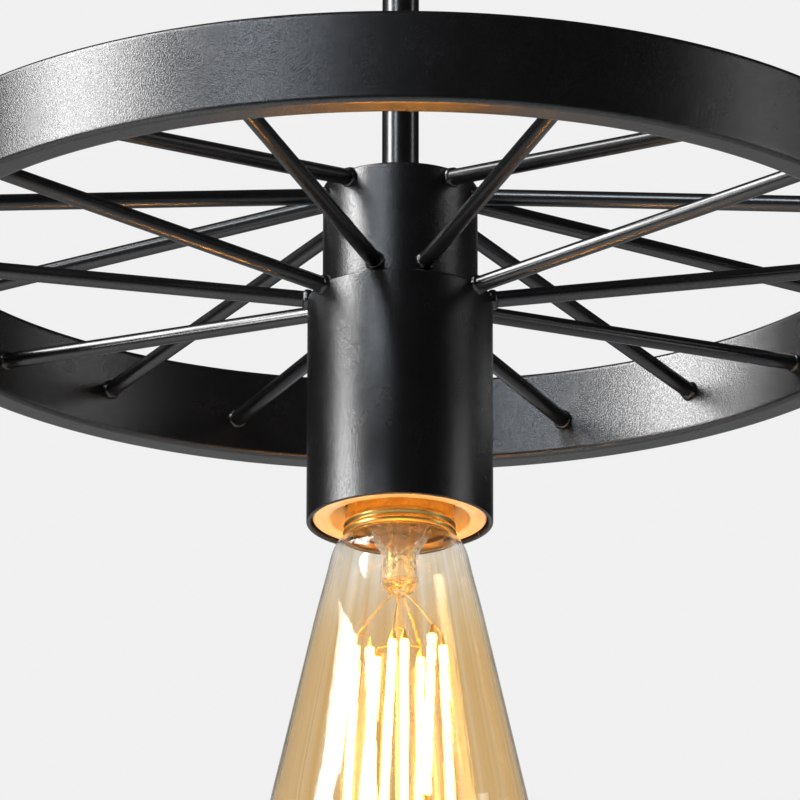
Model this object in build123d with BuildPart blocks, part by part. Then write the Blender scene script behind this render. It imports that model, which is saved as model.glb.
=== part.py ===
"""A bicycle wheel chandelier: a ceiling rose, a rod, a spoked steel wheel and one bare filament lamp.

The frame is the ceiling: z = 0 is the ceiling plane, +Z points up and every piece hangs below it.
Angles round the wheel are counted from the front (-Y) towards +X. Lengths are in millimetres.
"""
import os
from math import cos, radians, sin, sqrt

from build123d import *

os.makedirs("parts", exist_ok=True)

# Heights, from the ceiling down
hub_drop = 225.0                # ceiling to the top of the hub drum
drum_height = 28.8
cup_height = 57.2
ring_rise = 11.9                # middle of the ring above the shoulder between drum and cup

# Wheel
ring_outer_radius = 130.0
ring_thickness = 8.0
ring_height = 22.5
ring_edge_radius = 1.4
spoke_radius = 2.0
weld_radius = 2.5
weld_length = 1.0
weld_taper = 12.0               # the bead narrows away from the wall, degrees
low_spoke_ring_drop = 2.4       # the lower spokes meet the ring this far below its middle
high_spoke_ring_drop = 0.7

# Hub drum and lamp cup
drum_radius = 18.85
drum_wall = 1.5
cup_radius = 22.5
cup_wall = 1.05
plate_thickness = 1.2           # closed tops of the drum and the cup
pressed_edge_radius = 0.6

# Spokes on one side: angle from the front, radius of the wall they are welded to, and the level
# there above the shoulder between drum and cup
low_spokes = [
    (19.1, drum_radius, 3.5),
    (55.9, cup_radius, -0.8),
    (89.6, cup_radius, 0.0),
    (125.6, cup_radius, 1.5),
    (160.0, drum_radius, 4.0),
]
high_spokes = [
    (41.6, drum_radius, 26.4),
    (73.2, drum_radius, 24.7),
    (105.3, drum_radius, 26.6),
    (142.9, drum_radius, 26.7),
]

# Rod
rod_radius = 4.5
rod_bore_radius = 3.0
thread_radius = 4.0
thread_clearance = 0.05
hole_clearance = 0.2
thread_overrun = 0.8            # thread that shows past its nut

# Nuts and washers on the rod
nut_flats = 13.0
nut_height = 4.5
nut_corner_share = 0.6          # part of each corner that the turned bevel takes off
washer_radius = 7.5
washer_thickness = 1.0
collar_radius = 7.5
collar_height = 8.0
collar_rounding = 1.2

# Ceiling rose and its crossbar
rose_radius = 55.0
rose_height = 30.0
rose_wall = 1.2
rose_edge_radius = 7.0
bar_half_length = 47.0
bar_width = 20.0
bar_thickness = 1.5
bar_flat_half = 32.0            # half of the stretch that lies on the ceiling
bar_jog_run = 3.0
bar_jog_drop = 5.0
bar_bend_radius = 1.0
ceiling_slot_x = 24.0
ceiling_slot_length = 11.0
ceiling_slot_width = 4.5
rose_screw_x = 40.0
rose_screw_radius = 2.0
rose_screw_head_radius = 3.7
rose_screw_head_height = 2.4
screw_head_rounding = 0.8
lock_nut_flats = 7.0
lock_nut_height = 3.2
cap_nut_radius = 5.0
cap_nut_skirt = 4.0
cap_nut_hole_depth = 6.0
ear_half_width = 6.0
ear_reach = 26.0
ear_corner_radius = 3.0
earth_screw_y = 20.0

# Wiring
wire_radius = 1.1
wire_clearance = 0.15
wire_offset = 1.3               # each wire beside the rod's axis
wire_bend_radius = 3.4
block_length = 32.0
block_width = 16.0
block_height = 12.0
block_corner_radius = 1.5
block_pole_pitch = 10.0
block_wire_drop = 6.0           # wire mouths below the crossbar
clamp_radius = 2.2
clamp_length = 12.0
clamp_screw_radius = 1.3
clamp_screw_x = 3.5
block_screw_radius = 1.5
block_screw_head_radius = 2.7
block_screw_head_height = 1.5
wire_reach = 15.0               # how far the wires swing out beside the block
earth_head_radius = 4.0
earth_head_height = 2.5
earth_shank_radius = 1.9

# Lampholder
holder_recess = 0.7             # porcelain face above the cup's lower rim
flange_gap = 0.45               # between the flange and the cup
flange_thickness = 4.5
flange_rounding = 0.6
holder_radius = 18.5
holder_top = 33.5               # above the cup's lower rim
mouth_radius = 16.8
mouth_chamfer = 0.5
shell_bottom = 5.0              # heights in the holder count from the cup's lower rim
shell_top = 24.0
shell_inner_radius = 13.3
shell_wall = 0.6
shell_flange_hole = 9.0
shell_seat_clearance = 0.15
pocket_top = 27.0
strap_width = 10.0
strap_thickness = 1.5
strap_leg_y = 12.0
strap_foot_end = 17.5
strap_bend_radius = 1.0
strap_screw_y = 15.2
strap_screw_radius = 1.5
strap_screw_head_radius = 2.2
strap_screw_head_height = 1.6
strap_screw_length = 8.0
terminal_x = 11.1
terminal_size = 6.0
terminal_chamfer = 0.5
terminal_height = 6.0
terminal_hole_depth = 3.5
terminal_screw_radius = 1.4
terminal_screw_head = 2.4
rivet_radius = 1.4
rivet_head_radius = 2.0
rivet_head_height = 0.8
rivet_clearance = 0.1

# Centre contact leaf
leaf_thickness = 0.5
leaf_width = 5.0
leaf_gap = 0.3                  # free play below the root and at the lamp's tip
leaf_headroom = 0.8             # free play above
leaf_knee_x = 6.5
leaf_tip_x = 2.2
leaf_root_end_x = 13.4
leaf_hole_radius = 1.8

# Lamp
cap_stand_off = 3.6             # lamp cap's rim below the cup's lower rim
cap_radius = 13.1
cap_wall = 0.5
cap_rim_radius = 13.7
cap_rim_height = 1.8
cap_rim_rounding = 0.6
cap_shell_length = 22.0
cap_shoulder = 1.4
insulator_height = 2.5
insulator_top_radius = 5.2
tip_radius = 4.6
tip_height = 1.4
tip_rounding = 0.7
turning_gap = 0.1               # between the cap's shell and its insulator
glass_wall = 0.9
neck_clearance = 0.3
neck_length = 7.0
lip_radius = 13.5               # where the glass swells out just under the cap's rim
lip_depth = 0.6                 # depths in the lamp count down from the cap's rim
lip_slope = (1, -2)             # out and down, where the glass leaves the lip
throat_radius = 17.65
throat_depth = 10.0
taper_top_radius = 20.5
taper_top_depth = 21.5
taper_end_radius = 29.6
taper_end_depth = 64.5
belly_radius = 32.0
belly_depth = 83.0
dome_height = 28.0
mount_tube_radius = 4.5
mount_waist_depth = 10.5
mount_tip_depth = 19.8
mount_tip_rounding = 2.5
mount_flare_radius = 5.9
mount_flare_depth = 4.0
mount_skirt_slope = (-1, -0.2)  # in and slightly down, where the flare leaves the neck
glass_rod_radius = 1.0
glass_rod_end_depth = 78.0
filament_count = 8
filament_radius = 0.95
filament_length = 36.0
filament_top_depth = 32.0
filament_top_ring = 9.5
filament_bottom_ring = 12.5
filament_end_length = 2.4
filament_end_radius = 0.6
support_wire_radius = 0.25
lead_radius = 0.4
lead_offset = 3.0
board_radius = 11.5
board_thickness = 1.2
board_height = 12.0             # board above the cap's rim
capacitor_radius = 3.2
capacitor_height = 5.0

# Levels worked out from the sizes above
drum_top = -hub_drop
shoulder = drum_top - drum_height
cup_rim = shoulder - cup_height
ring_middle = shoulder + ring_rise
ring_inner_radius = ring_outer_radius - ring_thickness
cup_ceiling = shoulder - plate_thickness
strap_under = cup_ceiling - strap_thickness
rod_end = strap_under - washer_thickness - nut_height - thread_overrun
rose_floor = -rose_height + rose_wall
rod_top = rose_floor + washer_thickness + nut_height + thread_overrun
rod_shoulder = -rose_height - collar_height
thread_hole_radius = thread_radius + hole_clearance
nut_bore_radius = thread_radius + thread_clearance
wire_hole_radius = wire_radius + wire_clearance
holder_face = cup_rim + holder_recess
holder_back = cup_rim + holder_top
shell_outer_radius = shell_inner_radius + shell_wall
terminal_top = holder_back + terminal_height
cap_rim = cup_rim - cap_stand_off
cap_shell_top = cap_rim + cap_shell_length
insulator_bottom = cap_shell_top + cap_shoulder + turning_gap
cap_top = insulator_bottom + insulator_height + tip_height
neck_radius = cap_radius - cap_wall - neck_clearance
neck_top = cap_rim + neck_length
envelope_tip = cap_rim - belly_depth - dome_height
hub_height = drum_height + cup_height
flange_radius = cup_radius - cup_wall - flange_gap
shell_seat_radius = shell_outer_radius + shell_seat_clearance
quarter_turn = 90.0
STANDING = (Align.CENTER, Align.CENTER, Align.MIN)
HANGING = (Align.CENTER, Align.CENTER, Align.MAX)


def save(part, name):
    """Give a finished piece its name and write its STEP file."""
    part.label = name
    export_step(part, f"parts/{name}.step")


def hex_nut(x, low, flats, height, bore_radius):
    """A hexagon nut with turned corners, standing on the level low."""
    corner_radius = flats / sqrt(3)
    corner_cut = nut_corner_share * (corner_radius - flats / 2)
    with BuildPart() as blank:
        with Locations((x, 0, low)):
            Cylinder(corner_radius, height, align=STANDING)
        chamfer(edges().filter_by(GeomType.CIRCLE), corner_cut)
        with BuildSketch(Plane.XY.offset(low)):
            with Locations((x, 0)):
                RegularPolygon(flats / 2, 6, major_radius=False)
                Circle(bore_radius, mode=Mode.SUBTRACT)
        extrude(amount=height, mode=Mode.INTERSECT)
    return blank.part


def washer(low):
    """A plain washer on the rod's thread, standing on the level low."""
    with BuildPart() as disc:
        with Locations((0, 0, low)):
            Cylinder(washer_radius, washer_thickness, align=STANDING)
            Cylinder(thread_hole_radius, washer_thickness, align=STANDING, mode=Mode.SUBTRACT)
    return disc.part


def pressed_cup(radius, wall, height, low):
    """A pressed steel shell, open below and closed above but for the rod's hole."""
    with BuildPart() as shell:
        with Locations((0, 0, low)):
            Cylinder(radius, height, align=STANDING)
            Cylinder(radius - wall, height - plate_thickness, align=STANDING, mode=Mode.SUBTRACT)
            Cylinder(thread_hole_radius, height, align=STANDING, mode=Mode.SUBTRACT)
        fillet(edges().group_by(Axis.Z)[-1].sort_by(SortBy.RADIUS)[-1], pressed_edge_radius)
    return shell.part


def spoke(wall_radius, level, ring_level):
    """A spoke at the front of the wheel, welded to a hub wall at one level and to the ring at another.

    A bar welded to the cup's wall is notched over the cup's corner and runs on to the drum.
    """
    start = Vector(0, -wall_radius, level)
    finish = Vector(0, -ring_inner_radius, ring_level)
    direction = (finish - start).normalized()
    run = (finish - start).length
    overlap = drum_wall / 2
    hub_reach = wall_radius - drum_radius + overlap
    with BuildPart() as bar:
        with BuildSketch(Plane(start - direction * hub_reach, z_dir=direction)):
            Circle(spoke_radius)
        extrude(amount=hub_reach + run + overlap)
        for end, inward in ((start, direction), (finish, -direction)):
            with BuildSketch(Plane(end - inward * overlap, z_dir=inward)):
                Circle(weld_radius)
            extrude(amount=overlap + weld_length, taper=weld_taper)
        with Locations((0, 0, cup_rim)):
            Cylinder(cup_radius, cup_height, align=STANDING, mode=Mode.SUBTRACT)
            Cylinder(drum_radius, hub_height, align=STANDING, mode=Mode.SUBTRACT)
            Cylinder(ring_inner_radius, hub_height, align=STANDING, mode=Mode.INTERSECT)
    return bar.part


def wire(points, radii):
    """An insulated wire along straight runs joined by tangent arcs."""
    with BuildPart() as insulated:
        with BuildLine() as route:
            FilletPolyline(*points, radius=radii)
        with BuildSketch(Plane(route.line @ 0, z_dir=route.line % 0)):
            Circle(wire_radius)
        sweep()
    return insulated.part


def envelope_line(inset):
    """Draw half the lamp glass's outline, moved in by an inset, from its neck down to its tip."""
    neck = (neck_radius - inset, cap_rim)
    lip = (lip_radius - inset, cap_rim - lip_depth)
    throat = (throat_radius - inset, cap_rim - throat_depth)
    taper_top = (taper_top_radius - inset, cap_rim - taper_top_depth)
    taper_end = (taper_end_radius - inset, cap_rim - taper_end_depth)
    belly = (belly_radius - inset, cap_rim - belly_depth)
    taper_slope = (taper_end[0] - taper_top[0], taper_end[1] - taper_top[1])
    Line((neck_radius - inset, neck_top), neck)
    Line(neck, lip)
    Spline(lip, throat, taper_top, tangents=(lip_slope, taper_slope))
    Line(taper_top, taper_end)
    Spline(taper_end, belly, tangents=(taper_slope, (0, -1)))
    EllipticalCenterArc((0, belly[1]), belly[0], dome_height - inset, 270,
                        arc_size=quarter_turn)


def on_ring(radius, angle, level):
    """A point on a ring round the lamp's axis, at an angle from the front."""
    return (radius * sin(radians(angle)), -radius * cos(radians(angle)), level)


def between(start, finish, radius):
    """A straight pin of this radius from one point to another."""
    start, finish = Vector(*start), Vector(*finish)
    with BuildPart() as pin:
        with BuildSketch(Plane(start, z_dir=(finish - start).normalized())):
            Circle(radius)
        extrude(amount=(finish - start).length)
    return pin.part


# Crossbar: a bent strip that two ceiling screws hold flat against the ceiling
bar_end_top = -bar_jog_drop
bar_end_under = bar_end_top - bar_thickness
bend_shift = bar_thickness * bar_jog_run / (bar_jog_drop + bar_jog_run)
with BuildPart() as crossbar:
    with BuildSketch(Plane.XZ):
        with BuildLine():
            Polyline(
                (0, 0),
                (bar_flat_half, 0),
                (bar_flat_half + bar_jog_run, bar_end_top),
                (bar_half_length, bar_end_top),
                (bar_half_length, bar_end_under),
                (bar_flat_half + bar_jog_run - bend_shift, bar_end_under),
                (bar_flat_half - bend_shift, -bar_thickness),
                (0, -bar_thickness),
                close=True,
            )
        make_face()
        mirror(about=Plane.YZ)
    extrude(amount=bar_width / 2, both=True)
    corners = edges().filter_by(Axis.Y)
    fillet([corner for corner in corners
            if bar_bend_radius < abs(corner.center().X) < bar_half_length - bar_bend_radius],
           bar_bend_radius)
    with BuildSketch(Plane.XY):
        with Locations((0, ear_reach / 2)):
            RectangleRounded(2 * ear_half_width, ear_reach, ear_corner_radius)
    extrude(amount=-bar_thickness)
    with BuildSketch(Plane.XY):
        with Locations((-ceiling_slot_x, 0), (ceiling_slot_x, 0)):
            SlotOverall(ceiling_slot_length, ceiling_slot_width)
        with Locations((-rose_screw_x, 0), (rose_screw_x, 0)):
            Circle(rose_screw_radius + hole_clearance)
        with Locations((block_pole_pitch / 2, 0)):
            Circle(block_screw_radius)
        with Locations((0, earth_screw_y)):
            Circle(earth_shank_radius)
    extrude(amount=bar_end_under, mode=Mode.SUBTRACT)
save(crossbar.part, "crossbar")

# Ceiling rose: a spun steel cap, open towards the ceiling
with BuildPart() as rose:
    with BuildSketch(Plane.XY):
        Circle(rose_radius)
    extrude(amount=-rose_height)
    fillet(edges().group_by(Axis.Z)[0], rose_edge_radius)
    offset(amount=-rose_wall, openings=faces().sort_by(Axis.Z)[-1])
    with BuildSketch(Plane.XY.offset(-rose_height)):
        Circle(thread_hole_radius)
        with Locations((-rose_screw_x, 0), (rose_screw_x, 0)):
            Circle(rose_screw_radius + hole_clearance)
    extrude(amount=rose_wall, mode=Mode.SUBTRACT)
save(rose.part, "ceiling_rose")

# Two long screws hang from the crossbar and hold the rose up with cap nuts
rose_screw_end = -rose_height - cap_nut_hole_depth + hole_clearance
with BuildPart() as rose_screws:
    with Locations((-rose_screw_x, 0, rose_screw_end), (rose_screw_x, 0, rose_screw_end)):
        Cylinder(rose_screw_radius, bar_end_top - rose_screw_end, align=STANDING)
    with Locations((-rose_screw_x, 0, bar_end_top), (rose_screw_x, 0, bar_end_top)):
        Cylinder(rose_screw_head_radius, rose_screw_head_height, align=STANDING)
    fillet(edges().group_by(Axis.Z)[-1], screw_head_rounding)
save(rose_screws.part, "rose_screws")

screw_bore = rose_screw_radius + thread_clearance
with BuildPart() as lock_nuts:
    for side in (-1, 1):
        add(hex_nut(side * rose_screw_x, bar_end_under - lock_nut_height,
                    lock_nut_flats, lock_nut_height, screw_bore))
save(lock_nuts.part, "rose_lock_nuts")

cap_nut_skirt_end = -rose_height - cap_nut_skirt
cap_nut_axis = Axis((rose_screw_x, 0, 0), (0, 0, 1))
with BuildPart() as cap_nuts:
    with BuildSketch(Plane.XZ.shift_origin((rose_screw_x, 0, 0))):
        with BuildLine():
            Polyline((0, cap_nut_skirt_end - cap_nut_radius), (0, -rose_height),
                     (cap_nut_radius, -rose_height), (cap_nut_radius, cap_nut_skirt_end))
            RadiusArc((cap_nut_radius, cap_nut_skirt_end),
                      (0, cap_nut_skirt_end - cap_nut_radius), cap_nut_radius)
        make_face()
    revolve(axis=cap_nut_axis)
    with BuildSketch(Plane.XY.offset(-rose_height)):
        with Locations((rose_screw_x, 0)):
            Circle(screw_bore)
    extrude(amount=-cap_nut_hole_depth, mode=Mode.SUBTRACT)
    mirror(about=Plane.YZ)
save(cap_nuts.part, "rose_cap_nuts")

# Terminal block under the crossbar: a nylon body, three brass clamps and their screws
block_top = -bar_thickness
block_bottom = block_top - block_height
mouth_level = block_top - block_wire_drop
pole_positions = [-block_pole_pitch, 0, block_pole_pitch]
with BuildPart() as block:
    with Locations((0, 0, block_bottom)):
        Box(block_length, block_width, block_height, align=STANDING)
    fillet(edges().filter_by(Axis.Z), block_corner_radius)
    with BuildSketch(Plane.XZ.offset(-block_width / 2)):
        with Locations(*[(x, mouth_level) for x in pole_positions]):
            Circle(clamp_radius)
    extrude(amount=block_width, mode=Mode.SUBTRACT)
    with BuildSketch(Plane.XY.offset(block_bottom)):
        for x in pole_positions:
            with Locations((x, -clamp_screw_x), (x, clamp_screw_x)):
                Circle(clamp_screw_radius + hole_clearance)
    extrude(amount=mouth_level - block_bottom, mode=Mode.SUBTRACT)
    with BuildSketch(Plane.XY.offset(block_bottom)):
        with Locations((block_pole_pitch / 2, 0)):
            Circle(block_screw_radius)
    extrude(amount=block_height, mode=Mode.SUBTRACT)
save(block.part, "terminal_block")

with BuildPart() as clamps:
    with BuildSketch(Plane.XZ.offset(-clamp_length / 2)):
        with Locations(*[(x, mouth_level) for x in pole_positions]):
            Circle(clamp_radius)
            Circle(wire_hole_radius, mode=Mode.SUBTRACT)
    extrude(amount=clamp_length)
save(clamps.part, "terminal_clamps")

clamp_screw_top = mouth_level - clamp_radius
with BuildPart() as clamp_screws:
    for x in pole_positions:
        for y in (-clamp_screw_x, clamp_screw_x):
            with Locations((x, y, block_bottom)):
                Cylinder(clamp_screw_radius, clamp_screw_top - block_bottom, align=STANDING)
save(clamp_screws.part, "terminal_clamp_screws")

with BuildPart() as block_screw:
    with Locations((block_pole_pitch / 2, 0, block_bottom)):
        Cylinder(block_screw_radius, -block_bottom, align=STANDING)
    with Locations((block_pole_pitch / 2, 0, block_bottom)):
        Cylinder(block_screw_head_radius, block_screw_head_height, align=HANGING)
save(block_screw.part, "terminal_block_screw")

earth_wire_level = -bar_thickness - wire_radius
with BuildPart() as earth_screw:
    with Locations((0, earth_screw_y, earth_wire_level - wire_radius)):
        Cylinder(earth_shank_radius, -earth_wire_level + wire_radius, align=STANDING)
        Cylinder(earth_head_radius, earth_head_height, align=HANGING)
    fillet(edges().group_by(Axis.Z)[0], screw_head_rounding)
save(earth_screw.part, "earth_screw")

# Rod: a tube whose turned ends carry the fixing threads
with BuildPart() as rod:
    with Locations((0, 0, drum_top)):
        Cylinder(rod_radius, rod_shoulder - drum_top, align=STANDING)
    with Locations((0, 0, rod_end)):
        Cylinder(thread_radius, rod_top - rod_end, align=STANDING)
        Cylinder(rod_bore_radius, rod_top - rod_end, align=STANDING, mode=Mode.SUBTRACT)
save(rod.part, "rod")

with BuildPart() as rod_collar:
    with Locations((0, 0, rod_shoulder)):
        Cylinder(collar_radius, collar_height, align=STANDING)
        Cylinder(nut_bore_radius, collar_height, align=STANDING, mode=Mode.SUBTRACT)
    fillet(edges().group_by(Axis.Z)[0].sort_by(SortBy.RADIUS)[-1], collar_rounding)
save(rod_collar.part, "rod_collar")

save(washer(rose_floor), "top_washer")
save(hex_nut(0, rose_floor + washer_thickness, nut_flats, nut_height, nut_bore_radius), "top_nut")
save(washer(strap_under - washer_thickness), "bottom_washer")
save(hex_nut(0, strap_under - washer_thickness - nut_height, nut_flats, nut_height,
             nut_bore_radius), "bottom_nut")

# Hub drum and lamp cup: two pressed shells, closed at the top, clamped between rod and nut
save(pressed_cup(drum_radius, drum_wall, drum_height, shoulder), "hub_drum")
save(pressed_cup(cup_radius, cup_wall, cup_height, cup_rim), "lamp_cup")

# Ring: a flat steel bar rolled into a hoop, its corners eased
with BuildPart() as ring:
    with BuildSketch(Plane.XZ):
        with Locations((ring_outer_radius - ring_thickness / 2, ring_middle)):
            RectangleRounded(ring_thickness, ring_height, ring_edge_radius)
    revolve(axis=Axis.Z)
save(ring.part, "wheel_ring")

# Spokes: round bars with a bead of weld at both ends, coped to the hub and the ring
for row_name, ring_drop, row in (
    ("low", low_spoke_ring_drop, low_spokes),
    ("high", high_spoke_ring_drop, high_spokes),
):
    for place, (angle, wall_radius, rise) in enumerate(row, start=1):
        bar = spoke(wall_radius, shoulder + rise, ring_middle - ring_drop)
        save(bar.rotate(Axis.Z, angle), f"spoke_{row_name}_{len(row) + place:02d}")
        save(bar.rotate(Axis.Z, -angle), f"spoke_{row_name}_{len(row) + 1 - place:02d}")

# Lampholder: a steel strap under the cup's top carries the porcelain body
strap_top = strap_under + strap_thickness
with BuildPart() as strap:
    with BuildSketch(Plane.YZ):
        with BuildLine():
            Polyline(
                (0, strap_top),
                (strap_leg_y, strap_top),
                (strap_leg_y, holder_back + strap_thickness),
                (strap_foot_end, holder_back + strap_thickness),
                (strap_foot_end, holder_back),
                (strap_leg_y - strap_thickness, holder_back),
                (strap_leg_y - strap_thickness, strap_under),
                (0, strap_under),
                close=True,
            )
        make_face()
        mirror(about=Plane.YZ)
    extrude(amount=strap_width / 2, both=True)
    corners = edges().filter_by(Axis.X)
    fillet([corner for corner in corners
            if strap_bend_radius < abs(corner.center().Y) < strap_foot_end - strap_bend_radius],
           strap_bend_radius)
    with BuildSketch(Plane.XY.offset(strap_top)):
        Circle(thread_hole_radius)
    extrude(amount=-strap_thickness, mode=Mode.SUBTRACT)
    with BuildSketch(Plane.XY.offset(holder_back)):
        with Locations((0, -strap_screw_y), (0, strap_screw_y)):
            Circle(strap_screw_radius)
    extrude(amount=strap_thickness, mode=Mode.SUBTRACT)
save(strap.part, "holder_strap")

strap_screw_top = holder_back + strap_thickness
with BuildPart() as strap_screws:
    with Locations((0, -strap_screw_y, strap_screw_top), (0, strap_screw_y, strap_screw_top)):
        Cylinder(strap_screw_radius, strap_screw_length, align=HANGING)
        Cylinder(strap_screw_head_radius, strap_screw_head_height, align=STANDING)
save(strap_screws.part, "holder_strap_screws")

# Porcelain body: turned outside and inside, with a pocket for the leaf and holes for the rivets
leaf_top = cup_rim + pocket_top - leaf_headroom
with BuildPart() as porcelain:
    with BuildSketch(Plane.XZ):
        with BuildLine():
            Polyline(
                (0, holder_back),
                (holder_radius, holder_back),
                (holder_radius, holder_face + flange_thickness),
                (flange_radius, holder_face + flange_thickness),
                (flange_radius, holder_face),
                (mouth_radius, holder_face),
                (mouth_radius, cup_rim + shell_bottom),
                (shell_seat_radius, cup_rim + shell_bottom),
                (shell_seat_radius, cup_rim + shell_top),
                (shell_flange_hole, cup_rim + shell_top),
                (shell_flange_hole, cup_rim + pocket_top),
                (0, cup_rim + pocket_top),
                close=True,
            )
        make_face()
    revolve(axis=Axis.Z)
    rim_edges = edges().group_by(Axis.Z)[0]
    fillet(rim_edges.sort_by(SortBy.RADIUS)[-1], flange_rounding)
    chamfer(rim_edges.sort_by(SortBy.RADIUS)[0], mouth_chamfer)
    with BuildSketch(Plane.XY.offset(cup_rim + shell_top)):
        with Locations((-leaf_root_end_x / 2 - leaf_gap, 0)):
            Rectangle(leaf_root_end_x, leaf_width + 2 * leaf_gap)
    extrude(amount=pocket_top - shell_top, mode=Mode.SUBTRACT)
    with BuildSketch(Plane.XY.offset(holder_back)):
        with Locations((-terminal_x, 0), (terminal_x, 0)):
            Circle(rivet_radius + rivet_clearance)
    extrude(amount=cup_rim + shell_top - holder_back, mode=Mode.SUBTRACT)
    with BuildSketch(Plane.XY.offset(holder_back)):
        with Locations((0, -strap_screw_y), (0, strap_screw_y)):
            Circle(strap_screw_radius)
    extrude(amount=strap_thickness - strap_screw_length, mode=Mode.SUBTRACT)
save(porcelain.part, "porcelain_body")

# Screw shell: the brass socket thread's sleeve, with a flange that its rivet holds to the porcelain
with BuildPart() as screw_shell:
    with Locations((0, 0, cup_rim + shell_bottom)):
        Cylinder(shell_outer_radius, shell_top - shell_bottom, align=STANDING)
        Cylinder(shell_inner_radius, shell_top - shell_bottom - shell_wall, align=STANDING,
                 mode=Mode.SUBTRACT)
        Cylinder(shell_flange_hole, shell_top - shell_bottom, align=STANDING, mode=Mode.SUBTRACT)
    with BuildSketch(Plane.XY.offset(cup_rim + shell_top)):
        with Locations((terminal_x, 0)):
            Circle(rivet_radius)
    extrude(amount=-shell_wall, mode=Mode.SUBTRACT)
save(screw_shell.part, "screw_shell")

# Rivets carry the current through the porcelain to the terminals on its back
shell_rivet_level = cup_rim + shell_top - shell_wall
leaf_rivet_level = leaf_top - leaf_thickness - leaf_gap
with BuildPart() as rivets:
    for x, level in ((terminal_x, shell_rivet_level), (-terminal_x, leaf_rivet_level)):
        with Locations((x, 0, level)):
            Cylinder(rivet_radius, holder_back - level, align=STANDING)
            Cylinder(rivet_head_radius, rivet_head_height, align=HANGING)
save(rivets.part, "contact_rivets")

with BuildPart() as terminals:
    for x in (-terminal_x, terminal_x):
        with Locations((x, 0, holder_back)):
            Box(terminal_size, terminal_size, terminal_height, align=STANDING)
        with Locations((x, 0, terminal_top)):
            Cylinder(wire_hole_radius, terminal_hole_depth, align=HANGING, mode=Mode.SUBTRACT)
    chamfer(edges().filter_by(Axis.Z).filter_by(GeomType.LINE), terminal_chamfer)
save(terminals.part, "holder_terminals")

terminal_screw_level = terminal_top - terminal_hole_depth / 2
with BuildPart() as terminal_screws:
    for side in (-1, 1):
        outside = side * (terminal_x + terminal_size / 2)
        with BuildSketch(Plane((outside, 0, terminal_screw_level), z_dir=(side, 0, 0))):
            Circle(terminal_screw_head)
        extrude(amount=terminal_screw_radius)
save(terminal_screws.part, "holder_terminal_screws")

# Centre contact: a sprung brass leaf, held at its root, that the lamp's tip lifts
leaf_knee_level = leaf_top - leaf_thickness
leaf_tip_level = cap_top + leaf_gap
with BuildPart() as leaf:
    with BuildSketch(Plane.XZ):
        with BuildLine():
            Polyline(
                (-leaf_root_end_x, leaf_top),
                (-leaf_knee_x, leaf_top),
                (leaf_tip_x, leaf_tip_level + leaf_thickness),
                (leaf_tip_x, leaf_tip_level),
                (-leaf_tip_x, leaf_tip_level),
                (-leaf_knee_x, leaf_knee_level),
                (-leaf_root_end_x, leaf_knee_level),
                close=True,
            )
        make_face()
    extrude(amount=leaf_width / 2, both=True)
    with BuildSketch(Plane.XY.offset(leaf_top)):
        with Locations((-terminal_x, 0)):
            Circle(leaf_hole_radius)
    extrude(amount=-leaf_thickness, mode=Mode.SUBTRACT)
save(leaf.part, "centre_contact")

# Wires: live on the left and neutral on the right, from the terminals up the rod to the block
bottom_bend = (rod_end + terminal_top) / 2
top_bend = (rod_top + block_bottom) / 2
for side, name in ((-1, "live_wire"), (1, "neutral_wire")):
    in_terminal = (side * terminal_x, 0, terminal_top - terminal_hole_depth + wire_clearance)
    route_points = [
        in_terminal,
        (side * terminal_x, 0, bottom_bend),
        (side * wire_offset, 0, bottom_bend),
        (side * wire_offset, 0, top_bend),
        (side * block_pole_pitch, -wire_reach, top_bend),
        (side * block_pole_pitch, -wire_reach, mouth_level),
        (side * block_pole_pitch, -clamp_screw_x + clamp_screw_radius, mouth_level),
    ]
    save(wire(route_points, wire_bend_radius), name)

earth_route = [
    (0, clamp_screw_x - clamp_screw_radius, mouth_level),
    (0, block_width / 2 + wire_bend_radius, mouth_level),
    (0, earth_screw_y - earth_head_radius - wire_radius, earth_wire_level),
    (0, earth_screw_y - earth_shank_radius, earth_wire_level),
]
save(wire(earth_route, wire_bend_radius / 2), "earth_wire")

# Lamp cap: a brass shell with a rolled rim, a glass insulator and a tip contact
with BuildPart() as lamp_cap:
    with BuildSketch(Plane.XZ):
        with BuildLine():
            Polyline(
                (cap_radius - cap_wall, cap_rim),
                (cap_rim_radius, cap_rim),
                (cap_rim_radius, cap_rim + cap_rim_height),
                (cap_radius, cap_rim + cap_rim_height),
                (cap_radius, cap_shell_top),
                (cap_radius - cap_shoulder, cap_shell_top + cap_shoulder),
                (cap_radius - cap_shoulder - cap_wall, cap_shell_top + cap_shoulder),
                (cap_radius - cap_wall, cap_shell_top),
                close=True,
            )
        make_face()
    revolve(axis=Axis.Z)
    fillet(edges().group_by(Axis.Z)[0].sort_by(SortBy.RADIUS)[-1], cap_rim_rounding)
save(lamp_cap.part, "lamp_cap")

with BuildPart() as insulator:
    with BuildSketch(Plane.XY.offset(insulator_bottom)):
        Circle(cap_radius - cap_shoulder)
    with BuildSketch(Plane.XY.offset(insulator_bottom + insulator_height)):
        Circle(insulator_top_radius)
    loft()
save(insulator.part, "lamp_insulator")

with BuildPart() as tip_contact:
    with Locations((0, 0, insulator_bottom + insulator_height)):
        Cylinder(tip_radius, tip_height, align=STANDING)
    fillet(edges().group_by(Axis.Z)[-1], tip_rounding)
save(tip_contact.part, "lamp_tip_contact")

# Glass: a straight-sided teardrop, blown thin, whose neck is cemented into the cap
with BuildPart() as glass:
    with BuildSketch(Plane.XZ):
        with BuildLine():
            envelope_line(0)
            envelope_line(glass_wall)
            Line((neck_radius, neck_top), (neck_radius - glass_wall, neck_top))
            Line((0, envelope_tip), (0, envelope_tip + glass_wall))
        make_face()
    revolve(axis=Axis.Z)
save(glass.part, "lamp_glass")

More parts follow.
